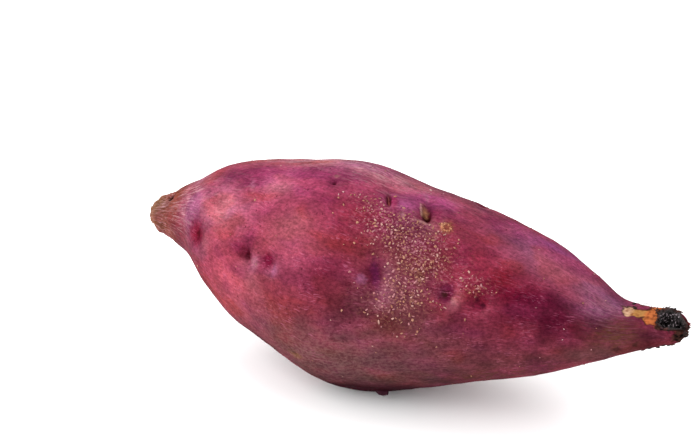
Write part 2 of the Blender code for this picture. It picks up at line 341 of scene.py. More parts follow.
def hollow_rings(rim, turn, count):
    """Rings from the rim of the break inwards: a lip, a steep ridged wall and a rough floor."""
    middle = (rim.min(axis=0) + rim.max(axis=0)) / 2
    axis = np.array(HOLLOW_AXIS)
    rings = []
    for step in range(1, count):
        inward = step / count
        fall = eased((inward - HOLLOW_LIP) / (HOLLOW_FLOOR - HOLLOW_LIP))
        ring = rim + (middle - rim) * inward
        ridges = np.sin(HOLLOW_RIDGES * turn + 2 * np.sin(3 * turn)) * RIDGE_HEIGHT * (1 - inward)
        ring = ring - axis * HOLLOW_DEPTH * fall
        rough = (lumpy(ring, HOLLOW_ROUGH, HOLLOW_SEED) + ridges) * eased(inward / 0.12)
        rings.append(ring - axis * rough[:, None])
    return np.array(rings), middle - axis * HOLLOW_DEPTH


# The skin's mesh
# Rings of points run from the stub to the rim of the break and down into the hollow. They stand
# closer together at both ends, and the eyes are split finer, so that their creases are real.
SPOKES = 204
RINGS_NOSE, RINGS_STUB, RINGS_BODY, RINGS_NECK, RINGS_HOLLOW = 12, 34, 140, 60, 26
STUB_END = -60.0
NECK_CROWDING = 0.85  # under 1, so that the neck's rings stand closer towards the break
FINE_ROUND_EYES = (1.45, 0.85)  # how near an eye the mesh is split once and twice, in eye sizes
SAP_FROM = 0.05  # the share of the way into the hollow where its finish begins


def ring_places(turn):
    """The x of every ring's points, from the stub's nose to the break."""
    lean = np.linspace(0, math.pi / 2, RINGS_NOSE + 1)[1:]
    nose = STUB_X + STUB_ROUNDING * (1 - np.cos(lean))
    stub = np.linspace(nose[-1], STUB_END, RINGS_STUB + 1)[1:]
    body = np.linspace(STUB_END, NECK_X, RINGS_BODY + 1)[1:]
    level = np.concatenate([nose, stub, body])
    share = np.linspace(0, 1, RINGS_NECK + 1)[1:, None] ** NECK_CROWDING
    neck = NECK_X + share * (break_edge(turn)[None, :] - NECK_X)
    return np.concatenate([np.repeat(level[:, None], SPOKES, axis=1), neck])


def split_near_eyes(mesh, inward):
    """Splits the faces round the eyes, twice in their middles."""
    places = np.array([eye[0] for eye in EYES]), np.radians([eye[1] for eye in EYES])
    eye_points, _, _ = spindle(*places)
    sizes = np.array([max(eye[2], eye[3]) for eye in EYES])
    for reach in FINE_ROUND_EYES:
        near = set()
        for face in mesh.faces:
            if any(vert[inward] > 0 for vert in face.verts):
                continue
            gaps = eye_points - np.array(face.calc_center_median())
            if ((gaps * gaps).sum(axis=1) < (sizes * reach) ** 2).any():
                near.update(face.edges)
        bmesh.ops.subdivide_edges(mesh, edges=list(near), cuts=1, use_grid_fill=True)


def root_mesh():
    """The closed mesh of the root at its plain form, with how far inward each hollow point is."""
    turn = np.linspace(0, 2 * math.pi, SPOKES, endpoint=False)
    x = ring_places(turn)
    turns = np.repeat(turn[None, :], len(x), axis=0)
    rings, _, _ = spindle(x, turns)
    rim = skin(x[-1], turn)[0]
    inner, floor = hollow_rings(rim, turn, RINGS_HOLLOW)
    mesh = bmesh.new()
    inward = mesh.verts.layers.float.new("inward")
    loops = [[mesh.verts.new(point) for point in ring] for ring in rings]
    for step, ring in enumerate(inner, 1):
        loops.append([mesh.verts.new(point) for point in ring])
        for vert in loops[-1]:
            vert[inward] = step / RINGS_HOLLOW
    for near, far in zip(loops, loops[1:]):
        for i in range(SPOKES):
            j = (i + 1) % SPOKES
            mesh.faces.new((near[i], near[j], far[j], far[i]))
    tip = mesh.verts.new((STUB_X, section_value(4, STUB_X), section_value(3, STUB_X)))
    bottom = mesh.verts.new(floor)
    bottom[inward] = 1.0
    for i in range(SPOKES):
        j = (i + 1) % SPOKES
        mesh.faces.new((tip, loops[0][j], loops[0][i]))
        mesh.faces.new((bottom, loops[-1][i], loops[-1][j]))
    split_near_eyes(mesh, inward)
    bmesh.ops.triangulate(mesh, faces=mesh.faces)
    bmesh.ops.recalc_face_normals(mesh, faces=mesh.faces)
    for face in mesh.faces:
        face.material_index = int(any(vert[inward] > SAP_FROM for vert in face.verts))
    data = bpy.data.meshes.new("sweet_potato_skin")
    mesh.to_mesh(data)
    mesh.free()
    return data


# The skin's colour
# Fresh skin is rosy magenta over a darker wine red, and rubbing and drying leave it pale in places.
# Some tints are painted light: painted sheen, lilac and pale, on the top rim and the upper flanks, and
# painted shade, wine dark, along the belly where it lies on the floor. Each tint is its place, turn,
# half length, half width, colour and strength, with colours from 0 to 255 a channel.
ROSE = (134, 52, 76)
CRIMSON = (118, 38, 56)
WINE = (94, 24, 42)
TINTS = (
    # Painted sheen: pale along the top rim.
    (-10.0, 99.0, 32.0, 7.0, (164, 104, 116), 0.85),
    (-20.0, 76.0, 22.0, 8.0, (142, 54, 84), 0.8),
    (-34.0, 64.0, 9.0, 8.0, (122, 42, 66), 0.75),
    # Painted sheen: the next two, lilac and pale on the upper left flank.
    (-42.0, 38.0, 9.0, 10.0, (150, 80, 104), 0.75),
    (-36.0, 42.0, 7.0, 6.0, (172, 106, 130), 0.7),
    (-23.0, 67.0, 5.0, 4.5, (182, 106, 122), 0.6),
    (-12.0, 42.0, 6.0, 5.0, (168, 94, 100), 0.6),
    (-23.0, 8.0, 4.5, 4.0, (172, 104, 110), 0.6),
    # Painted shade: soft dark beside the pit.
    (-29.0, 21.0, 5.0, 3.4, (118, 34, 56), 0.6),
    (-32.0, -6.0, 13.0, 14.0, (164, 68, 84), 0.9),
    (-48.0, 0.0, 6.0, 10.0, (122, 38, 54), 0.95),
    (-10.0, 32.0, 12.0, 10.0, (146, 68, 80), 0.85),
    (3.0, 58.0, 9.0, 7.0, (116, 34, 52), 0.75),
    (20.0, 90.0, 8.0, 5.0, (168, 74, 112), 0.75),
    (15.0, 75.0, 5.0, 4.0, (164, 84, 118), 0.8),
    (6.0, 25.0, 11.0, 9.0, (104, 26, 42), 0.8),
    (7.0, 11.0, 9.0, 8.0, (88, 26, 38), 0.85),
    (16.0, 16.0, 5.0, 4.0, (86, 36, 42), 0.8),
    (21.0, 8.0, 8.0, 5.0, (84, 36, 46), 0.75),
    # Painted sheen: the next three, lilac on the upper flank towards the tail.
    (50.0, 76.0, 12.0, 8.0, (122, 68, 88), 0.8),
    (60.0, 97.0, 12.0, 6.0, (132, 62, 110), 0.85),
    (57.0, 69.0, 8.0, 4.0, (152, 84, 110), 0.75),
    (20.5, 61.0, 5.0, 4.0, (142, 78, 110), 0.7),
    (40.0, 54.0, 10.0, 8.0, (126, 36, 54), 0.65),
    (53.0, 38.0, 10.0, 7.0, (88, 10, 32), 0.85),
    (64.0, 20.0, 12.0, 6.0, (66, 3, 24), 0.95),
    (50.0, -2.0, 14.0, 8.0, (88, 24, 40), 0.75),
    (50.0, -27.0, 12.0, 6.0, (86, 40, 44), 0.7),
    (20.0, 50.0, 11.0, 12.0, (92, 28, 40), 0.75),
    (22.0, 22.0, 9.0, 9.0, (96, 44, 54), 0.6),
    (32.0, -9.0, 9.0, 7.0, (84, 34, 44), 0.7),
    (17.0, 10.0, 5.5, 5.0, (72, 22, 32), 0.9),
    (29.0, 7.0, 5.0, 4.5, (86, 38, 46), 0.8),
    (4.0, -18.0, 30.0, 12.0, (88, 44, 50), 0.8),
    (14.0, -46.0, 40.0, 12.0, (72, 42, 42), 0.8),
    # Painted shade: wine dark along the belly where it lies on the floor.
    (7.0, -64.0, 13.0, 8.7, (86, 8, 36), 2.0),
    (73.0, 66.0, 8.0, 6.0, (126, 76, 96), 0.85),
    (78.0, 10.0, 7.0, 5.0, (78, 30, 34), 0.85),
    (75.0, -28.0, 12.0, 5.0, (94, 56, 58), 0.75),
    (88.0, -10.0, 6.0, 7.0, (66, 20, 34), 0.9),
    (-30.0, 170.0, 16.0, 14.0, (152, 60, 82), 0.7),
    (20.0, 168.0, 18.0, 12.0, (96, 22, 42), 0.7),
    (0.0, 132.0, 26.0, 8.0, (138, 68, 92), 0.7),
    (8.0, 216.0, 36.0, 13.0, (100, 52, 56), 0.8),
    (-10.0, -100.0, 44.0, 14.0, (92, 46, 50), 0.7),
    (72.0, 170.0, 10.0, 8.0, (110, 40, 58), 0.7),
    (-57.0, -8.0, 8.0, 9.0, (106, 36, 48), 0.95),
    (-53.0, 38.0, 6.0, 12.0, (158, 92, 112), 0.85),
    (-64.0, 40.0, 5.0, 60.0, (122, 62, 54), 0.85),
    (-75.0, 20.0, 7.0, 90.0, (136, 94, 66), 1.0),
    (-57.5, 0.0, 5.0, 5.0, (108, 38, 50), 0.85),
)
# Small scars have sharper edges: dry tissue in the slits, dark hearts that are partly painted shade,
# blushes, painted highlights on pale cheeks and beside pits, and painted shade in one dimple. They
# lean as the eyes do.
SCARS = (
    (-47.6, 15.0, 3.8, 3.8, 0, (110, 22, 42), 0.85),
    (-46.8, 14.8, 1.0, 1.5, 0, (72, 8, 18), 0.95),
    (19.6, 79.0, 0.9, 2.5, 27, (148, 98, 72), 0.95),
    (18.7, 78.6, 0.3, 2.8, 27, (186, 142, 122), 0.7),
    (21.3, 73.8, 1.2, 1.9, 27, (46, 4, 8), 1.0),
    (21.3, 68.4, 2.0, 0.6, 0, (172, 126, 118), 0.7),
    (24.2, 77.0, 1.4, 3.4, 27, (122, 24, 58), 0.65),
    (18.0, 89.5, 0.6, 2.0, 27, (164, 104, 120), 0.5),
    (9.5, 76.8, 0.8, 2.6, 27, (64, 6, 14), 0.95),
    (9.2, 77.4, 0.2, 2.0, 27, (160, 84, 76), 0.8),
    (11.5, 76.0, 1.1, 3.0, 27, (132, 22, 58), 0.65),
    (28.0, 70.0, 1.6, 2.0, 0, (144, 86, 58), 0.8),
    (28.2, 70.0, 0.6, 1.1, 0, (122, 56, 52), 0.8),
    (-8.2, -25.6, 2.3, 1.6, 20, (112, 76, 56), 0.9),
    (-7.6, 80.5, 0.8, 1.0, 27, (142, 100, 84), 0.7),
    (34.4, 26.6, 2.6, 2.8, 20, (70, 12, 44), 0.65),
    (33.8, 25.6, 0.9, 1.2, 20, (42, 20, 16), 0.85),
    # Painted highlight, pale, beside the purple pit.
    (36.9, 22.3, 0.9, 1.1, 20, (150, 98, 104), 0.55),
    (43.5, 24.0, 2.4, 2.6, 0, (88, 12, 36), 0.6),
    (42.7, 25.8, 0.6, 0.8, 0, (52, 10, 26), 0.8),
    (44.4, 22.2, 0.6, 0.8, 0, (52, 10, 26), 0.8),
    # Painted shade down the dimple.
    (14.6, 31.0, 1.3, 4.0, 24, (84, 26, 56), 0.75),
    # Painted highlight, lilac, beside the dimple.
    (11.2, 27.5, 1.4, 1.5, 24, (154, 94, 120), 0.45),
    (26.5, 33.0, 1.5, 2.2, 0, (94, 58, 34), 0.7),
    (-26.4, 20.4, 2.2, 2.0, 20, (84, 16, 28), 0.7),
    # Painted highlight on the pale cheek of a pit.
    (-21.8, 17.8, 1.3, 1.9, 0, (172, 114, 118), 0.55),
    (-17.6, 22.6, 1.6, 1.9, 0, (104, 16, 40), 0.8),
    (-8.8, -24.6, 0.9, 0.8, 0, (56, 24, 24), 0.9),
    # Painted highlight on the pale cheek of the next pit.
    (-14.4, 18.5, 0.8, 1.8, 0, (156, 100, 122), 0.4),
    (15.9, 68.0, 0.5, 1.3, 27, (174, 126, 122), 0.7),
    (-31.5, 63.5, 0.6, 2.6, 30, (172, 106, 120), 0.6),
    (-65.7, 62.0, 1.0, 1.2, 0, (44, 24, 18), 0.95),
    (79.0, -23.0, 1.1, 0.9, 0, (56, 26, 28), 0.8),
    (84.0, -19.5, 0.9, 0.8, 0, (56, 26, 28), 0.8),
)
# The eye and crease shades darken the sunken eyes: partly their own dark tissue, partly painted shade. The
# cheek highlight is painted: pale where an eye's rim swells.
EYE_SHADE, CREASE_SHADE, CHEEK_HIGHLIGHT = (82, 14, 38), (68, 9, 16), (166, 100, 112)
CREAM, YELLOW, ORANGE = (190, 150, 122), (164, 116, 66), (180, 100, 56)
YELLOW_FROM, ORANGE_FROM = 80.0, 83.6  # where along the root the bare flesh turns
FLESH_BROWN, TORN_EDGE = (120, 60, 36), (52, 22, 22)
CRUST_BROWN, CRUST_RED, CRUST_BLACK = (62, 38, 32), (104, 44, 38), (16, 10, 10)
LIP_BROWN, SAP_CRUMBS = (32, 18, 16), (190, 172, 180)
LILAC_CAST, WARM_CAST = (236, 224, 255), (255, 232, 206)
RUBBED_PINK, CRUMB_PINK = (178, 96, 124), (182, 112, 120)
SCRATCH_WINE, PORE_WINE = (62, 8, 24), (56, 10, 22)
HUSK_PALE, HUSK_GAPS = (208, 160, 166), (80, 26, 32)
HEALED_TAN, HEALED_PINK, HEALED_GAPS = (160, 104, 84), (172, 112, 122), (88, 20, 32)
DUST, SOIL = (116, 86, 82), (84, 52, 34)
GRAIN_RADIUS = 25.0  # the grain is drawn as on a rod, so that its lines run on into the thin ends
HOLLOW_READS_AT = 90.0  # the x at which the hollow's points read the skin's marks
DARKER, BELLY_SHADE_DARKER = 0.74, 0.24  # how dark the skin is in this strong light, and the painted shade along the belly
# Painted shade along the belly where it lies on the floor, dust, soil, dry pale streaks and crumbling
# cork lie in places: each its place, turn, half length, half width and strength. The dry streaks
# along the top rim are partly painted highlight.
BELLY_SHADE = ((7.0, -63.0, 13.0, 8.4, 2.0),)
DUSTY = ((2.0, -24.0, 32.0, 13.0, 0.6), (5.0, -118.0, 56.0, 18.0, 0.5), (10.0, 214.0, 38.0, 15.0, 0.6),
         (20.0, 30.0, 12.0, 16.0, 0.25))
SOILED = ((79.0, 8.0, 6.0, 4.5, 0.9), (84.0, 190.0, 10.0, 9.0, 0.7), (48.0, -44.0, 16.0, 4.0, 0.7),
          (-66.0, -30.0, 6.0, 9.0, 0.7), (-67.0, 30.0, 4.0, 9.0, 0.5), (-20.0, -108.0, 20.0, 10.0, 0.5))
# The row at x -10, turn 99, along the top rim, is partly painted highlight.
DRY = ((-57.0, 52.0, 8.0, 11.0, 0.75), (-69.0, 40.0, 7.0, 80.0, 0.7), (-10.0, 99.0, 32.0, 6.0, 0.45),
       (-40.0, 50.0, 10.0, 9.0, 0.2), (2.0, 86.0, 12.0, 6.0, 0.25),
       (-30.0, 200.0, 20.0, 14.0, 0.35), (76.0, 60.0, 8.0, 7.0, 0.2))
CRUMBLING = ((12.0, 62.0, 8.0, 6.0, 0.8), (21.0, 55.0, 9.0, 9.0, 1.0), (26.0, 43.0, 9.0, 8.0, 0.9),
             (22.0, 24.0, 9.0, 10.0, 0.7), (40.5, 35.0, 5.0, 3.0, 0.7), (2.0, 70.0, 4.0, 3.0, 0.4),
             (-14.0, 160.0, 7.0, 6.0, 0.7), (34.0, 205.0, 8.0, 6.0, 0.7))


def seen(colour):
    """A colour from 0 to 255 a channel, as the linear light that a shader wants."""
    share = np.array(colour, float) / 255
    return np.where(share <= 0.04045, share / 12.92, ((share + 0.055) / 1.055) ** 2.4)


def laid_over(under, colour, strength):
    """A colour laid over others, as strong as it is at each point."""
    strength = np.clip(strength, 0, 1)[:, None]
    return under + (seen(colour) - under) * strength


def all_over(colour, points):
    """One colour at every point."""
    return seen(colour) * np.ones((len(points), 1))


def skin_tint(x, turn, radius, points, masks):
    """The colour of the skin at each point, before its fine grain."""
    broad = grown(points, (26.0, 15.0, 15.0), 1.7)
    small = grown(points, (7.0, 4.0, 4.0), 6.2)
    tint = laid_over(all_over(ROSE, points), CRIMSON, 0.5 + 1.1 * broad)
    tint = laid_over(tint, WINE, 0.2 + 0.9 * small)
    for *mark, colour, strength in TINTS:
        far = away(x, turn, radius, mark)
        tint = laid_over(tint, colour, strength * np.exp(-far) * (1 + 0.6 * small))
    # Partly painted shade: the sunken eyes darken, as their own dark tissue does and as shade falls in
    # them.
    tint = laid_over(tint, EYE_SHADE, 0.7 * masks["eye"])
    # Painted highlight on the cheeks, where an eye's rim swells on the side of the tail and the belly.
    tint = laid_over(tint, CHEEK_HIGHLIGHT, 0.3 * eased((masks["cheek"] - 0.12) / 0.4))
    # Partly painted shade, in the creases.
    tint = laid_over(tint, CREASE_SHADE, 0.9 * masks["crease"])
    crumbs = grown(points, 0.8, 2.2)
    for *mark, lean, colour, strength in SCARS:
        far = away(x, turn, radius, mark, lean) * (1 + 0.8 * crumbs)
        tint = laid_over(tint, colour, strength * np.exp(-(far**2)))
    flesh = laid_over(all_over(CREAM, points), YELLOW, eased((x - YELLOW_FROM) / 2.0))
    flesh = laid_over(flesh, ORANGE, eased((x - ORANGE_FROM + small) / 1.6))
    flesh = laid_over(flesh, FLESH_BROWN, 1.4 * crumbs)
    tint = tint + (flesh - tint) * masks["bare"][:, None]
    edge = 4 * masks["bare"] * (1 - masks["bare"])
    return laid_over(tint, TORN_EDGE, 0.85 * edge)


def crust_tint(tint, points, crusty):
    """The skin's colour with the crust over it: brown with red tears and black pits."""
    lumps = lumpy(points, CRUST_LUMPS, SWELLING_SEED)
    crusted = laid_over(all_over(CRUST_BROWN, points), CRUST_RED, 2.2 * grown(points, 1.6, 7.7))
    crusted = laid_over(crusted, CRUST_BLACK, eased((0.12 - lumps) / 0.35))
    return tint + (crusted - tint) * crusty[:, None]


def hollow_tint(points, inward):
    """The colour of the hollow at each point: brown at the lip and black further in."""
    small = grown(points, 1.3, 3.8)
    tint = laid_over(all_over(LIP_BROWN, points), CRUST_RED, 1.2 * small)
    return laid_over(tint, CRUST_BLACK, eased((inward - 0.12 + 0.25 * small) / 0.2))


def smudged(x, turn, radius, smudges):
    """How much of a dusting or a stain lies at each point."""
    much = np.zeros_like(x)
    for *mark, strength in smudges:
        much = np.maximum(much, strength * np.exp(-away(x, turn, radius, mark)))
    return much


class Finish:
    """A material that is mixed node by node, and the few steps that its recipe needs."""

    def __init__(self, name):
        self.material = bpy.data.materials.new(name)
        self.material.use_nodes = True
        self.tree = self.material.node_tree
        self.shader = self.tree.nodes["Principled BSDF"]
        self.place = self.node("ShaderNodeTexCoord").outputs["Object"]

    def node(self, kind, inputs=(), **settings):
        """A node with its inputs, each a number, a colour or another node's output."""
        made = self.tree.nodes.new(kind)
        for name, value in settings.items():
            setattr(made, name, value)
        for socket, value in inputs:
            if isinstance(value, bpy.types.NodeSocket):
                self.tree.links.new(value, made.inputs[socket])
            else:
                made.inputs[socket].default_value = value
        return made

    def stored(self, name):
        """A value that the mesh holds at each point."""
        return self.node("ShaderNodeAttribute", attribute_name=name).outputs

    def stored_three(self, name):
        """Three values that the mesh holds together at each point."""
        return self.node("ShaderNodeSeparateXYZ", ((0, self.stored(name)["Vector"]),)).outputs

    def vector(self, operation, *inputs):
        """Vectors put together."""
        return self.node("ShaderNodeVectorMath", tuple(enumerate(inputs)), operation=operation).outputs[0]

    def mottle(self, at, size, detail=3.0, rough=0.55, output="Fac"):
        """Grown mottling from 0 to 1, with features of a size in millimetres along X, Y and Z."""
        scaled = self.vector("MULTIPLY", at, [1 / (length * MM) for length in size])
        settings = (("Vector", scaled), ("Scale", 1.0), ("Detail", detail), ("Roughness", rough))
        return self.node("ShaderNodeTexNoise", settings).outputs[output]

    def wandered(self, at, size, reach):
        """Places that wander off by up to a reach, so that lines drawn with them aren't straight."""
        shift = self.vector("SUBTRACT", self.mottle(at, (size,) * 3, 2.0, output="Color"), (0.5,) * 3)
        return self.vector("MULTIPLY_ADD", shift, (2 * reach * MM,) * 3, at)

    def dots(self, at, size):
        """Scattered dots: the distance from a dot's middle, in spacings, and a number for each dot."""
        scaled = self.vector("MULTIPLY", at, [1 / (length * MM) for length in size])
        made = self.node("ShaderNodeTexVoronoi", (("Vector", scaled), ("Scale", 1.0)))
        return made.outputs["Distance"], made.outputs["Color"]

    def level(self, value, low, high, least=0.0, most=1.0):
        """A value turned from low..high into least..most, smoothly, and kept there."""
        inputs = (("Value", value), (1, low), (2, high), (3, least), (4, most))
        stepped = self.node("ShaderNodeMapRange", inputs, interpolation_type="SMOOTHSTEP")
        return stepped.outputs["Result"]

    def product(self, first, *others):
        """Values multiplied together."""
        for other in others:
            made = self.node("ShaderNodeMath", ((0, first), (1, other)), operation="MULTIPLY")
            first = made.outputs[0]
        return first

    def shaded(self, colour, light):
        """A colour made lighter or darker."""
        made = self.node("ShaderNodeVectorMath", ((0, colour), ("Scale", light)), operation="SCALE")
        return made.outputs[0]

    def mix(self, under, over, share, how="MIX"):
        """One colour laid over another."""
        made = self.node("ShaderNodeMix", data_type="RGBA", blend_type=how)
        for socket, value in ((0, share), (6, under), (7, over)):
            if isinstance(value, tuple):
                value = (*seen(value), 1.0)
            if isinstance(value, bpy.types.NodeSocket):
                self.tree.links.new(value, made.inputs[socket])
            else:
                made.inputs[socket].default_value = value
        return made.outputs[2]

    def finish(self, colour, roughness, height, relief, **fixed):
        """Sets the colour, the roughness, the fine relief in millimetres, and plain numbers."""
        self.tree.links.new(colour, self.shader.inputs["Base Color"])
        self.tree.links.new(roughness, self.shader.inputs["Roughness"])
        bump = self.node("ShaderNodeBump", (("Height", height), ("Distance", relief * MM)))
        self.tree.links.new(bump.outputs[0], self.shader.inputs["Normal"])
        for name, value in fixed.items():
            self.shader.inputs[name.replace("_", " ")].default_value = value
        return self.material


def skin_finish():
    """Rosy skin: drifts of hue, lengthwise scratches, dry crumbs, pores, dust and soil on the tint, and
    painted shade along the belly.
    """
    look = Finish("rosy_skin")
    tint = look.stored("tint")["Color"]
    dusty, soiled, bare = look.stored_three("wear")
    dry, crusty, corky = look.stored_three("age")
    grain = look.wandered(look.stored("grain")["Vector"], 7.0, 1.5)
    streaks = look.mottle(grain, (2.8, 0.5, 0.5), 4.0, 0.62)
    fibres = look.mottle(grain, (3.0, 0.26, 0.26), 2.0, 0.5)
    husk = look.mottle(grain, (6.0, 0.8, 0.8), 4.0, 0.68)
    clods = look.mottle(grain, (3.0, 1.2, 1.2), 4.0, 0.7)
    pore, number = look.dots(grain, (1.6, 2.6, 2.6))
    mottles = look.mottle(look.place, (1.1, 0.8, 0.8), 4.0, 0.68)
    cork = look.mottle(look.place, (0.9, 0.65, 0.65), 3.0, 0.6)
    blotches = look.mottle(look.place, (8.0, 5.0, 5.0), 3.0, 0.55)
    drifts = look.mottle(look.place, (18.0, 11.0, 11.0), 2.0, 0.5)
    light = look.product(
        look.level(streaks, 0.3, 0.7, 0.86, 1.15),
        look.level(mottles, 0.25, 0.75, 0.66, 1.36),
        look.level(blotches, 0.3, 0.7, 0.80, 1.22),
    )
    colour = look.shaded(tint, light)
    colour = look.mix(colour, LILAC_CAST, look.level(drifts, 0.5, 0.62, 0.0, 0.9), "MULTIPLY")
    colour = look.mix(colour, WARM_CAST, look.level(drifts, 0.48, 0.36, 0.0, 0.8), "MULTIPLY")
    healed = look.mix(HEALED_TAN, HEALED_PINK, look.level(blotches, 0.42, 0.60))
    marks = (
        (RUBBED_PINK, fibres, 0.56, 0.70, 0.0, 0.45, [look.level(blotches, 0.44, 0.64)]),
        (SCRATCH_WINE, fibres, 0.40, 0.26, 0.0, 0.4, []),
        (CRUMB_PINK, mottles, 0.60, 0.74, 0.0, 0.55, [look.level(blotches, 0.54, 0.68)]),
        (PORE_WINE, pore, 0.16, 0.07, 0.0, 0.7, [look.level(number, 0.55, 0.6)]),
        (HUSK_GAPS, husk, 0.46, 0.36, 0.0, 0.6, [dry]),
        (HUSK_PALE, husk, 0.50, 0.64, 0.0, 0.85, [dry]),
        (HEALED_GAPS, cork, 0.50, 0.40, 0.0, 0.8, [corky]),
        (healed, cork, 0.53, 0.62, 0.0, 0.8, [corky]),
        (DUST, mottles, 0.38, 0.62, 0.25, 1.0, [dusty]),
        (SOIL, clods, 0.46, 0.6, 0.0, 1.0, [soiled]),
    )
    for tone, pattern, low, high, least, most, where in marks:
        strength = look.product(look.level(pattern, low, high, least, most), *where)
        colour = look.mix(colour, tone, strength)
    flesh = look.shaded(tint, look.level(fibres, 0.25, 0.75, 0.6, 1.4))
    colour = look.mix(colour, flesh, bare)
    crumbled = look.shaded(tint, look.level(mottles, 0.3, 0.7, 0.4, 1.7))
    colour = look.mix(colour, crumbled, crusty)
    # Painted shade: the skin is darker still along the belly where it lies on the floor.
    belly_shade = look.level(look.stored("belly_shade")["Fac"], 0.0, 1.0, DARKER, BELLY_SHADE_DARKER)
    roughness = look.level(mottles, 0.2, 0.8, 0.46, 0.70)
    height = look.node("ShaderNodeMath", ((0, fibres), (1, mottles)), operation="ADD").outputs[0]
    return look.finish(look.shaded(colour, belly_shade), roughness, height, 0.12, Specular_IOR_Level=0.005)


def sap_finish():
    """Dried sap and dead core in the hollow: black-brown with grey crumbs, glossy in spots."""
    look = Finish("dried_sap")
    crumbs = look.mottle(look.place, (0.75, 0.75, 0.75), 4.0, 0.7)
    colour = look.shaded(look.stored("tint")["Color"], look.level(crumbs, 0.3, 0.7, 0.2, 1.3))
    inner = look.level(look.stored("inward")["Fac"], 0.15, 0.4)
    grey = look.product(inner, look.level(crumbs, 0.55, 0.63, 0.0, 0.9))
    colour = look.mix(colour, SAP_CRUMBS, grey)
    roughness = look.level(crumbs, 0.4, 0.6, 0.2, 0.8)
    return look.finish(colour, roughness, crumbs, 0.35, Specular_IOR_Level=0.25)


def point_layer(data, name, kind, values):
    """Stores a number, a colour or a vector at each point of a mesh."""
    if kind == "FLOAT_COLOR":
        values = np.hstack([values, np.ones((len(values), 1))])
    layer = data.attributes.new(name, kind, "POINT")
    slot = {"FLOAT": "value", "FLOAT_COLOR": "color", "FLOAT_VECTOR": "vector"}[kind]
    layer.data.foreach_set(slot, np.ascontiguousarray(values, np.float32).ravel())


def put_in(name, data):
    """An object in the scene, made of its mesh, light or camera."""
    made = bpy.data.objects.new(name, data)
    bpy.context.scene.collection.objects.link(made)
    return made


def sweet_potato():
    """The root: the plain form lifted to its finished skin, with its colour and wear stored on it."""
    data = root_mesh()
    count = len(data.vertices)
    plain = np.empty(count * 3, np.float32)
    data.vertices.foreach_get("co", plain)
    plain = plain.reshape(-1, 3).astype(float)
    inward = np.empty(count, np.float32)
    data.attributes["inward"].data.foreach_get("value", inward)
    outside = inward == 0
    x = np.where(outside, plain[:, 0], HOLLOW_READS_AT)
    turn = np.arctan2(plain[:, 2] - section_value(3, x), section_value(4, x) - plain[:, 1])
    points, _, radius, masks = skin(x, turn)
    points = np.where(outside[:, None], points, plain)
    data.vertices.foreach_set("co", (points * MM).astype(np.float32).ravel())
    tint = crust_tint(skin_tint(x, turn, radius, points, masks), points, masks["crust"])
    tint = np.where(outside[:, None], tint, hollow_tint(points, inward))
    point_layer(data, "tint", "FLOAT_COLOR", tint)
    worn = (smudged(x, turn, radius, places) for places in (DUSTY, SOILED, DRY, CRUMBLING))
    dust, soil, dry, cork = (much * (1 - masks["eye"]) for much in worn)
    point_layer(data, "wear", "FLOAT_VECTOR", np.stack([dust, soil, masks["bare"]], axis=-1))
    point_layer(data, "age", "FLOAT_VECTOR", np.stack([dry, masks["crust"], cork], axis=-1))
    # The painted shade along the belly, which the finish darkens the skin by.
    point_layer(data, "belly_shade", "FLOAT", np.clip(smudged(x, turn, radius, BELLY_SHADE), 0, 1))
    grain = np.stack([x, GRAIN_RADIUS * np.cos(turn), GRAIN_RADIUS * np.sin(turn)], axis=-1)
    point_layer(data, "grain", "FLOAT_VECTOR", grain * MM)
    data.shade_smooth()
    data.materials.append(skin_finish())
    data.materials.append(sap_finish())
    return put_in("sweet_potato_skin", data)


root = sweet_potato()
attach(root, "root")
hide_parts("sweet_potato")

# The corky specks
# Lenticels, the pores that the root breathes through, have burst and healed as crumbs of tan cork.
# They crowd in patches and stand alone elsewhere, each a low dome rooted in the skin. A patch is its
# place, turn, half length, half width and how many specks are tried in it.
SPECK_PATCHES = (
    (7.0, 68.0, 4.4, 4.0, 70),
    (13.0, 59.0, 5.5, 4.5, 110),
    (20.0, 56.0, 7.5, 7.0, 220),
    (26.0, 44.0, 7.0, 7.0, 190),
    (22.0, 23.0, 8.0, 9.0, 270),
    (40.5, 35.0, 4.6, 2.4, 44),
    (-14.0, 160.0, 6.0, 5.0, 70),
    (34.0, 205.0, 7.0, 5.0, 90),
)
PATCH_SPREAD = 0.6  # how widely its specks scatter, as a share of its half sizes
STRAY_SPECKS = 80
SPECK_RADII, STRAY_RADII = (0.14, 0.2, 0.26, 0.32, 0.4), (0.16, 0.22, 0.3)
SPECK_ROOM, SPECK_GAP = 1.05, 0.1  # two keep this many times their radii apart, and this much more
OPEN_EYE = 0.6  # no speck sits in an eye deeper than this
RING_OF_CORK = (28.0, 70.0, 1.3, 1.6, 13)
# Painted glints: a few small pale flakes, each its place, turn and radius.
GLINT_FLAKES = (
    (15.8, 103.0, 0.45), (-2.6, 70.5, 0.32), (-3.4, 68.0, 0.26),
    (65.8, 12.0, 0.22), (65.6, -1.0, 0.22),
)
CORK_TANS = (
    (152, 102, 82), (166, 118, 96), (138, 88, 72),
    (156, 98, 100), (164, 108, 112), (178, 134, 124),
)
RING_TANS = ((158, 98, 72), (170, 116, 86), (144, 84, 66))
GLINT_COLOUR = (184, 140, 142)
STEP_ALONG, STEP_ROUND = 0.2, 0.01  # how far off, in mm and radians, the skin's slope is read
SPECK_HEIGHT, SPECK_STEEPNESS = 0.08, 0.35  # a speck is this high, and this share of its radius more
SPECK_SPOKES = 8
SPECK_RINGS = ((1.0, -0.6), (0.95, 0.35), (0.58, 0.85))  # share of the radius, share of the height
SPECK_SEED = 11


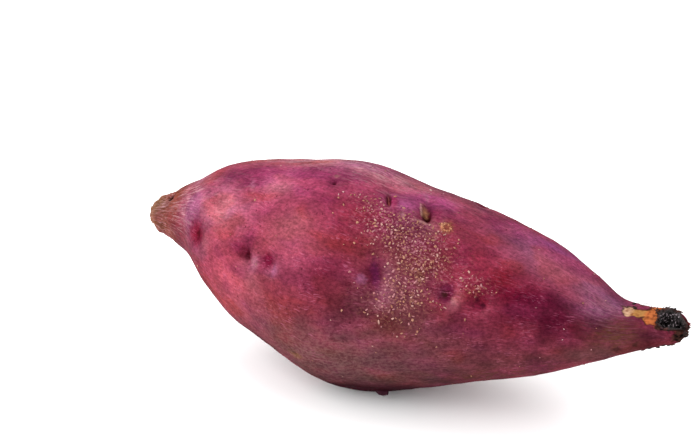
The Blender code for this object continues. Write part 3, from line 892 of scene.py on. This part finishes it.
def on_skin(x, turn):
    """Points of the skin, and the directions along it, round it and out of it there."""
    here, out, _, _ = skin(x, turn)
    along = skin(x + STEP_ALONG, turn)[0] - here
    around = skin(x, turn + STEP_ROUND)[0] - here
    along /= np.linalg.norm(along, axis=-1, keepdims=True)
    around /= np.linalg.norm(around, axis=-1, keepdims=True)
    up = np.cross(along, around)
    up *= np.sign((up * out).sum(axis=-1))[..., None]
    return here, along, around, up


def dome(here, along, around, up, size, height, draw):
    """A low uneven dome, as points and faces."""
    stretch, swing = draw.uniform(1.0, 1.6), draw.uniform(0, math.pi)
    uneven = [draw.uniform(0.6, 1.4) for _ in range(SPECK_SPOKES)]
    long = along * math.cos(swing) + around * math.sin(swing)
    wide = around * math.cos(swing) - along * math.sin(swing)
    points = []
    for share, rise in SPECK_RINGS:
        for spoke in range(SPECK_SPOKES):
            lean = 2 * math.pi * spoke / SPECK_SPOKES
            reach = share * size * uneven[spoke]
            flat = long * math.cos(lean) * reach * stretch + wide * math.sin(lean) * reach / stretch
            points.append(here + flat + up * height * rise)
    points += [here + up * height, here - up * height]
    top, bottom = len(points) - 2, len(points) - 1
    faces = []
    for spoke in range(SPECK_SPOKES):
        following = (spoke + 1) % SPECK_SPOKES
        for ring in range(len(SPECK_RINGS) - 1):
            first = ring * SPECK_SPOKES
            second = first + SPECK_SPOKES
            faces.append((first + spoke, first + following, second + following, second + spoke))
        faces.append((second + spoke, second + following, top))
        faces.append((following, spoke, bottom))
    return points, faces


def joined_up(name, shapes, finish):
    """One object out of many small closed shapes, each its points, its faces and its colour."""
    points, faces, tints = [], [], []
    for shape_points, shape_faces, colour in shapes:
        first = len(points)
        points.extend(shape_points)
        faces.extend(tuple(first + corner for corner in face) for face in shape_faces)
        tints.extend([seen(colour)] * len(shape_points))
    mesh = bmesh.new()
    corners = [mesh.verts.new([value * MM for value in point]) for point in points]
    for face in faces:
        mesh.faces.new([corners[corner] for corner in face])
    bmesh.ops.recalc_face_normals(mesh, faces=mesh.faces)
    data = bpy.data.meshes.new(name)
    mesh.to_mesh(data)
    mesh.free()
    point_layer(data, "tint", "FLOAT_COLOR", np.array(tints))
    data.materials.append(finish)
    data.shade_smooth()
    return put_in(name, data)


def speck_places(draw):
    """Where each speck sits and its radius, in patches that thin out, with no two overlapping."""
    places = []

    def settle(x, turn, size):
        """Keeps a speck if there is room for it and it isn't in an eye."""
        radius = float(section_value(1, np.array(x)))
        for *mark, deep, lean, _ in EYES:
            if deep > OPEN_EYE and away(x, math.radians(turn), radius, mark, lean) < 1:
                return
        for other_x, other_turn, other_size in places:
            gap = math.hypot(x - other_x, math.radians(turn - other_turn) * radius)
            if gap < SPECK_ROOM * (size + other_size) + SPECK_GAP:
                return
        places.append((x, turn, size))

    for patch_x, patch_turn, half_length, half_width, count in SPECK_PATCHES:
        radius = float(section_value(1, np.array(patch_x)))
        for _ in range(count):
            x = draw.gauss(patch_x, half_length * PATCH_SPREAD)
            turn = draw.gauss(patch_turn, math.degrees(half_width * PATCH_SPREAD / radius))
            settle(x, turn, draw.choice(SPECK_RADII))
    for _ in range(STRAY_SPECKS):
        settle(draw.uniform(-60, 78), draw.uniform(0, 360), draw.choice(STRAY_RADII))
    return places


def cork_finish():
    """Dry tan cork, crumbly."""
    look = Finish("tan_cork")
    crumbs = look.mottle(look.place, (0.5, 0.5, 0.5), 3.0, 0.65)
    colour = look.shaded(look.stored("tint")["Color"], look.level(crumbs, 0.3, 0.7, 0.55, 0.95))
    return look.finish(colour, look.level(crumbs, 0.3, 0.7, 0.7, 0.95), crumbs, 0.1, Specular_IOR_Level=0.2)


def corky_specks(finish):
    """Every speck, with the ring of cork round one eye and a few pale flakes that are painted glints."""
    draw = random.Random(SPECK_SEED)
    rows = [(x, turn, size, draw.choice(CORK_TANS)) for x, turn, size in speck_places(draw)]
    ring_x, ring_turn, half_length, half_width, count = RING_OF_CORK
    radius = float(section_value(1, np.array(ring_x)))
    for lump in range(count):
        lean = 2 * math.pi * lump / count
        reach = draw.uniform(0.6, 1.15)
        turn = ring_turn + math.degrees(half_width * reach * math.sin(lean) / radius)
        x = ring_x + half_length * reach * math.cos(lean)
        rows.append((x, turn, draw.uniform(0.25, 0.55), draw.choice(RING_TANS)))
    rows += [(x, turn, size, GLINT_COLOUR) for x, turn, size in GLINT_FLAKES]
    frames = on_skin(np.array([row[0] for row in rows]), np.radians([row[1] for row in rows]))
    shapes = []
    for row, here, along, around, up in zip(rows, *frames):
        height = SPECK_HEIGHT + SPECK_STEEPNESS * row[2]
        shapes.append((*dome(here, along, around, up, row[2], height, draw), row[3]))
    return joined_up("corky_specks", shapes, finish)


cork = cork_finish()
specks = corky_specks(cork)
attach(specks, "root")

# The torn shreds at the tail
# Slivers of dried skin and fibre stand along the rim of the hollow and hang under the tail, and one
# dark scrap and one hair stand at the torn strip. Each sliver is a thin pointed strip.
RIM_SHREDS = 44
SHRED_SEED = 5
SHRED_BROWNS = ((44, 30, 26), (66, 40, 34), (30, 22, 20), (88, 52, 44), (54, 30, 34))
RED_SHREDS = (138.0, 172.0)  # the turns between which the far rim is torn red
SHRED_RED = (116, 36, 36)
SHRED_TAPER = (0.8, 1.0, 0.95, 0.75, 0.5, 0.12)  # how wide it is from foot to point
HANGING_FLAKES = (
    (86.5, -62.0), (88.5, -74.0), (90.2, -66.0), (91.4, -80.0), (92.6, -70.0), (84.0, -80.0),
)
SCRAP = ((79.8, 104.0), (80.4, 97.0), (80.9, 90.0))
HAIR = (
    (82.6, 104.0, -0.1), (83.6, 103.0, 1.2), (84.8, 102.0, 1.6), (86.0, 101.0, 1.1), (86.9, 100.0, -0.1),
)
HAIR_WIDTH, HAIR_COLOUR = 0.15, (58, 46, 42)


def strip(spine, side, widths, flatness, sides=6):
    """A closed strip along a spine, as wide as it is at each point, as points and faces."""
    points, faces = [], []
    for step, (place, width) in enumerate(zip(spine, widths)):
        before, after = spine[max(step - 1, 0)], spine[min(step + 1, len(spine) - 1)]
        ahead = Vector(after - before).normalized()
        across = Vector(side).cross(ahead).cross(ahead).normalized()
        normal = ahead.cross(across)
        for corner in range(sides):
            lean = 2 * math.pi * corner / sides
            flat = across * math.cos(lean) * width / 2 + normal * math.sin(lean) * width / 2 * flatness
            points.append(Vector(place) + flat)
    for step in range(len(spine) - 1):
        for corner in range(sides):
            following = (corner + 1) % sides
            near, far = step * sides, (step + 1) * sides
            faces.append((near + corner, near + following, far + following, far + corner))
    faces.append(tuple(range(sides))[::-1])
    faces.append(tuple(range(len(points) - sides, len(points))))
    return points, faces


def sliver(foot, ahead, curl, length, width, flatness=0.28):
    """A pointed sliver that starts under the skin at a foot and curls over."""
    steps = np.linspace(-0.2, 1, len(SHRED_TAPER))
    spine = [foot + (ahead * step + curl * step * step * 0.5) * length for step in steps]
    widths = [width * share for share in SHRED_TAPER]
    return strip(spine, curl + ahead * 0.1, widths, flatness)


def line_over(marks):
    """Points over the skin, each given by its place, turn and height above the skin."""
    marks = np.array(marks)
    here, _, _, up = on_skin(marks[:, 0], np.radians(marks[:, 1]))
    return here + up * marks[:, 2:]


def tail_shreds(finish):
    """The shreds on the rim, the flakes under the tail, the scrap and the hair."""
    draw = random.Random(SHRED_SEED)
    shapes = []
    turns = np.radians([360 * (i + draw.random()) / RIM_SHREDS for i in range(RIM_SHREDS)])
    edge = break_edge(turns)
    for turn, here, along, around, up in zip(turns, *on_skin(edge - 0.15, turns)):
        ahead = along * draw.uniform(0.2, 0.9) + up * draw.uniform(0.3, 0.9)
        ahead += around * draw.uniform(-0.5, 0.5)
        curl = up * draw.uniform(-0.9, 0.4) + around * draw.uniform(-0.5, 0.5)
        red = RED_SHREDS[0] < math.degrees(turn) < RED_SHREDS[1]
        colour = SHRED_RED if red else draw.choice(SHRED_BROWNS)
        size = draw.uniform(0.5, 1.5) * (1.3 if red else 1.0)
        shapes.append((*sliver(here, ahead, curl, size, draw.uniform(0.35, 0.9)), colour))
    for places, stand, size, wide in ((HANGING_FLAKES, 0.35, 1.6, 0.9), (SCRAP, 0.7, 1.3, 0.8)):
        marks = np.array(places)
        for here, along, around, up in zip(*on_skin(marks[:, 0], np.radians(marks[:, 1]))):
            ahead = along * 0.6 + up * stand + around * draw.uniform(-0.3, 0.3)
            shape = sliver(here - up * 0.1, ahead, along * 0.3 - up * 0.3, size, wide)
            shapes.append((*shape, draw.choice(SHRED_BROWNS)))
    hair = strip(list(line_over(HAIR)), Vector((0, 1, 0)), [HAIR_WIDTH] * len(HAIR), 1.0)
    shapes.append((*hair, HAIR_COLOUR))
    return joined_up("tail_shreds", shapes, finish)


shreds = tail_shreds(cork)
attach(shreds, "root")

# The rootlets
# A few dried threads of side root are left: hairs that cling to the belly and the back, and one
# thick purple stump that lies against the belly near the floor, darkened with painted shade there.
STUMP = (
    (10.6, -60.0, -0.6), (11.2, -62.0, 0.1), (11.9, -63.0, 0.4), (12.6, -63.0, 0.4), (13.2, -62.0, 0.0),
)
STUMP_WIDTHS = (2.2, 2.5, 2.3, 1.7, 0.7)
# Painted shade: the stump's purple is darkened as the belly is where it meets the floor.
STUMP_SHADED_COLOUR = (48, 4, 24)
STUMP_LOWEST = 1.0  # how near the floor its middle line comes
ROOTLETS = (
    (-26.0, -116.0, 9.0, 0.5), (24.0, 198.0, 12.0, -0.4), (2.0, 152.0, 7.0, 0.7),
    (-50.0, 130.0, 6.0, -0.6), (52.0, -110.0, 8.0, 0.3), (46.0, 162.0, 5.0, 0.8),
)
ROOTLET_STEPS = 12
ROOTLET_BEND, ROOTLET_WAVE = 14, 5  # how many degrees it bends, and sways to and fro
ROOTLET_WIDTH = 0.42
ROOTLET_COLOUR = (98, 62, 52)


def rootlets(finish):
    """The hairs that cling to the skin, and the stump."""
    spine = line_over(STUMP)
    spine[:, 2] = np.maximum(spine[:, 2], STUMP_LOWEST)
    shapes = [(*strip(list(spine), Vector((0, 0, 1)), STUMP_WIDTHS, 0.7, 10), STUMP_SHADED_COLOUR)]
    steps = np.linspace(0, 1, ROOTLET_STEPS)
    lift = 0.1 + 0.9 * np.sin(math.pi * steps) * steps - 0.35 * (steps == 0)
    widths = ROOTLET_WIDTH * (1.3 - steps)
    for first_x, first_turn, length, swing in ROOTLETS:
        turn = first_turn + ROOTLET_BEND * swing * steps**2 + ROOTLET_WAVE * np.sin(5 * steps)
        spine = line_over(np.stack([first_x + length * steps, turn, lift], axis=-1))
        shapes.append((*strip(list(spine), Vector((0.2, 1, 0.3)), widths, 0.8), ROOTLET_COLOUR))
    return joined_up("rootlets", shapes, finish)


threads = rootlets(cork)
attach(threads, "root")

# The floor
# A plain white sheet, far wider than the picture.
FLOOR_SIZE_M = 8.0
FLOOR_BELOW_M = 0.0001
FLOOR_WHITE = (0.96, 0.96, 0.96, 1.0)


def floor_sheet():
    """The white floor, a hair below the root."""
    data = bpy.data.meshes.new("floor")
    half = FLOOR_SIZE_M / 2
    corners = [(-half, -half, 0), (half, -half, 0), (half, half, 0), (-half, half, 0)]
    data.from_pydata(corners, [], [(0, 1, 2, 3)])
    material = bpy.data.materials.new("white_sheet")
    material.use_nodes = True
    shader = material.node_tree.nodes["Principled BSDF"]
    shader.inputs["Base Color"].default_value = FLOOR_WHITE
    shader.inputs["Roughness"].default_value = 0.9
    shader.inputs["Specular IOR Level"].default_value = 0.0
    data.materials.append(material)
    floor = put_in("floor", data)
    floor.location.z = -FLOOR_BELOW_M
    return floor


floor_sheet()

# The light and the camera
# A white room, a wide soft light from the front left and a weaker one above, and a long lens that
# looks down on the front. The camera is set so that the flat spot falls where the photograph has it.
# Each light is its place and size in metres and its power.
LIGHTS = (
    ((-0.40, -0.95, 0.62), 1.3, 17.0),
    ((-0.20, 0.30, 1.15), 1.2, 8.5),
)
LIT_SPOT = Vector((0, 0, 0.03))
ROOM_LIGHT = 1.15
PICTURE_WIDTH, PICTURE_HEIGHT = 700, 438
FLAT_SPOT_PIXEL = (370, 374)
CAMERA_TURN, CAMERA_RISE = math.radians(28), math.radians(24)
CAMERA_AWAY_M = 0.620
LENS, SENSOR = 108.0, 36.0


def soft_light(place, size, power):
    """A square soft light that faces the root."""
    data = bpy.data.lights.new("soft_light", "AREA")
    data.size = size
    data.energy = power
    light = put_in("soft_light", data)
    light.location = place
    light.rotation_euler = (LIT_SPOT - Vector(place)).to_track_quat("-Z", "Y").to_euler()


def camera():
    """The camera at the photograph's angle."""
    back = Vector((
        math.sin(CAMERA_TURN) * math.cos(CAMERA_RISE),
        -math.cos(CAMERA_TURN) * math.cos(CAMERA_RISE),
        math.sin(CAMERA_RISE),
    ))
    right = Vector((math.cos(CAMERA_TURN), math.sin(CAMERA_TURN), 0))
    up = back.cross(right)
    pixel = CAMERA_AWAY_M * SENSOR / LENS / PICTURE_WIDTH
    aim = right * (PICTURE_WIDTH / 2 - FLAT_SPOT_PIXEL[0]) * pixel
    aim += up * (FLAT_SPOT_PIXEL[1] - PICTURE_HEIGHT / 2) * pixel
    data = bpy.data.cameras.new("camera")
    data.lens = LENS
    data.sensor_width = SENSOR
    data.clip_start = 0.01
    eye = put_in("camera", data)
    eye.location = aim + back * CAMERA_AWAY_M
    eye.rotation_euler = (-back).to_track_quat("-Z", "Y").to_euler()
    return eye


for place, size, power in LIGHTS:
    soft_light(place, size, power)
world = bpy.data.worlds.new("white_room")
world.use_nodes = True
world.node_tree.nodes["Background"].inputs["Color"].default_value = (1.0, 1.0, 1.0, 1.0)
world.node_tree.nodes["Background"].inputs["Strength"].default_value = ROOM_LIGHT
bpy.context.scene.world = world
bpy.context.scene.view_settings.view_transform = "Standard"
bpy.context.scene.camera = camera()
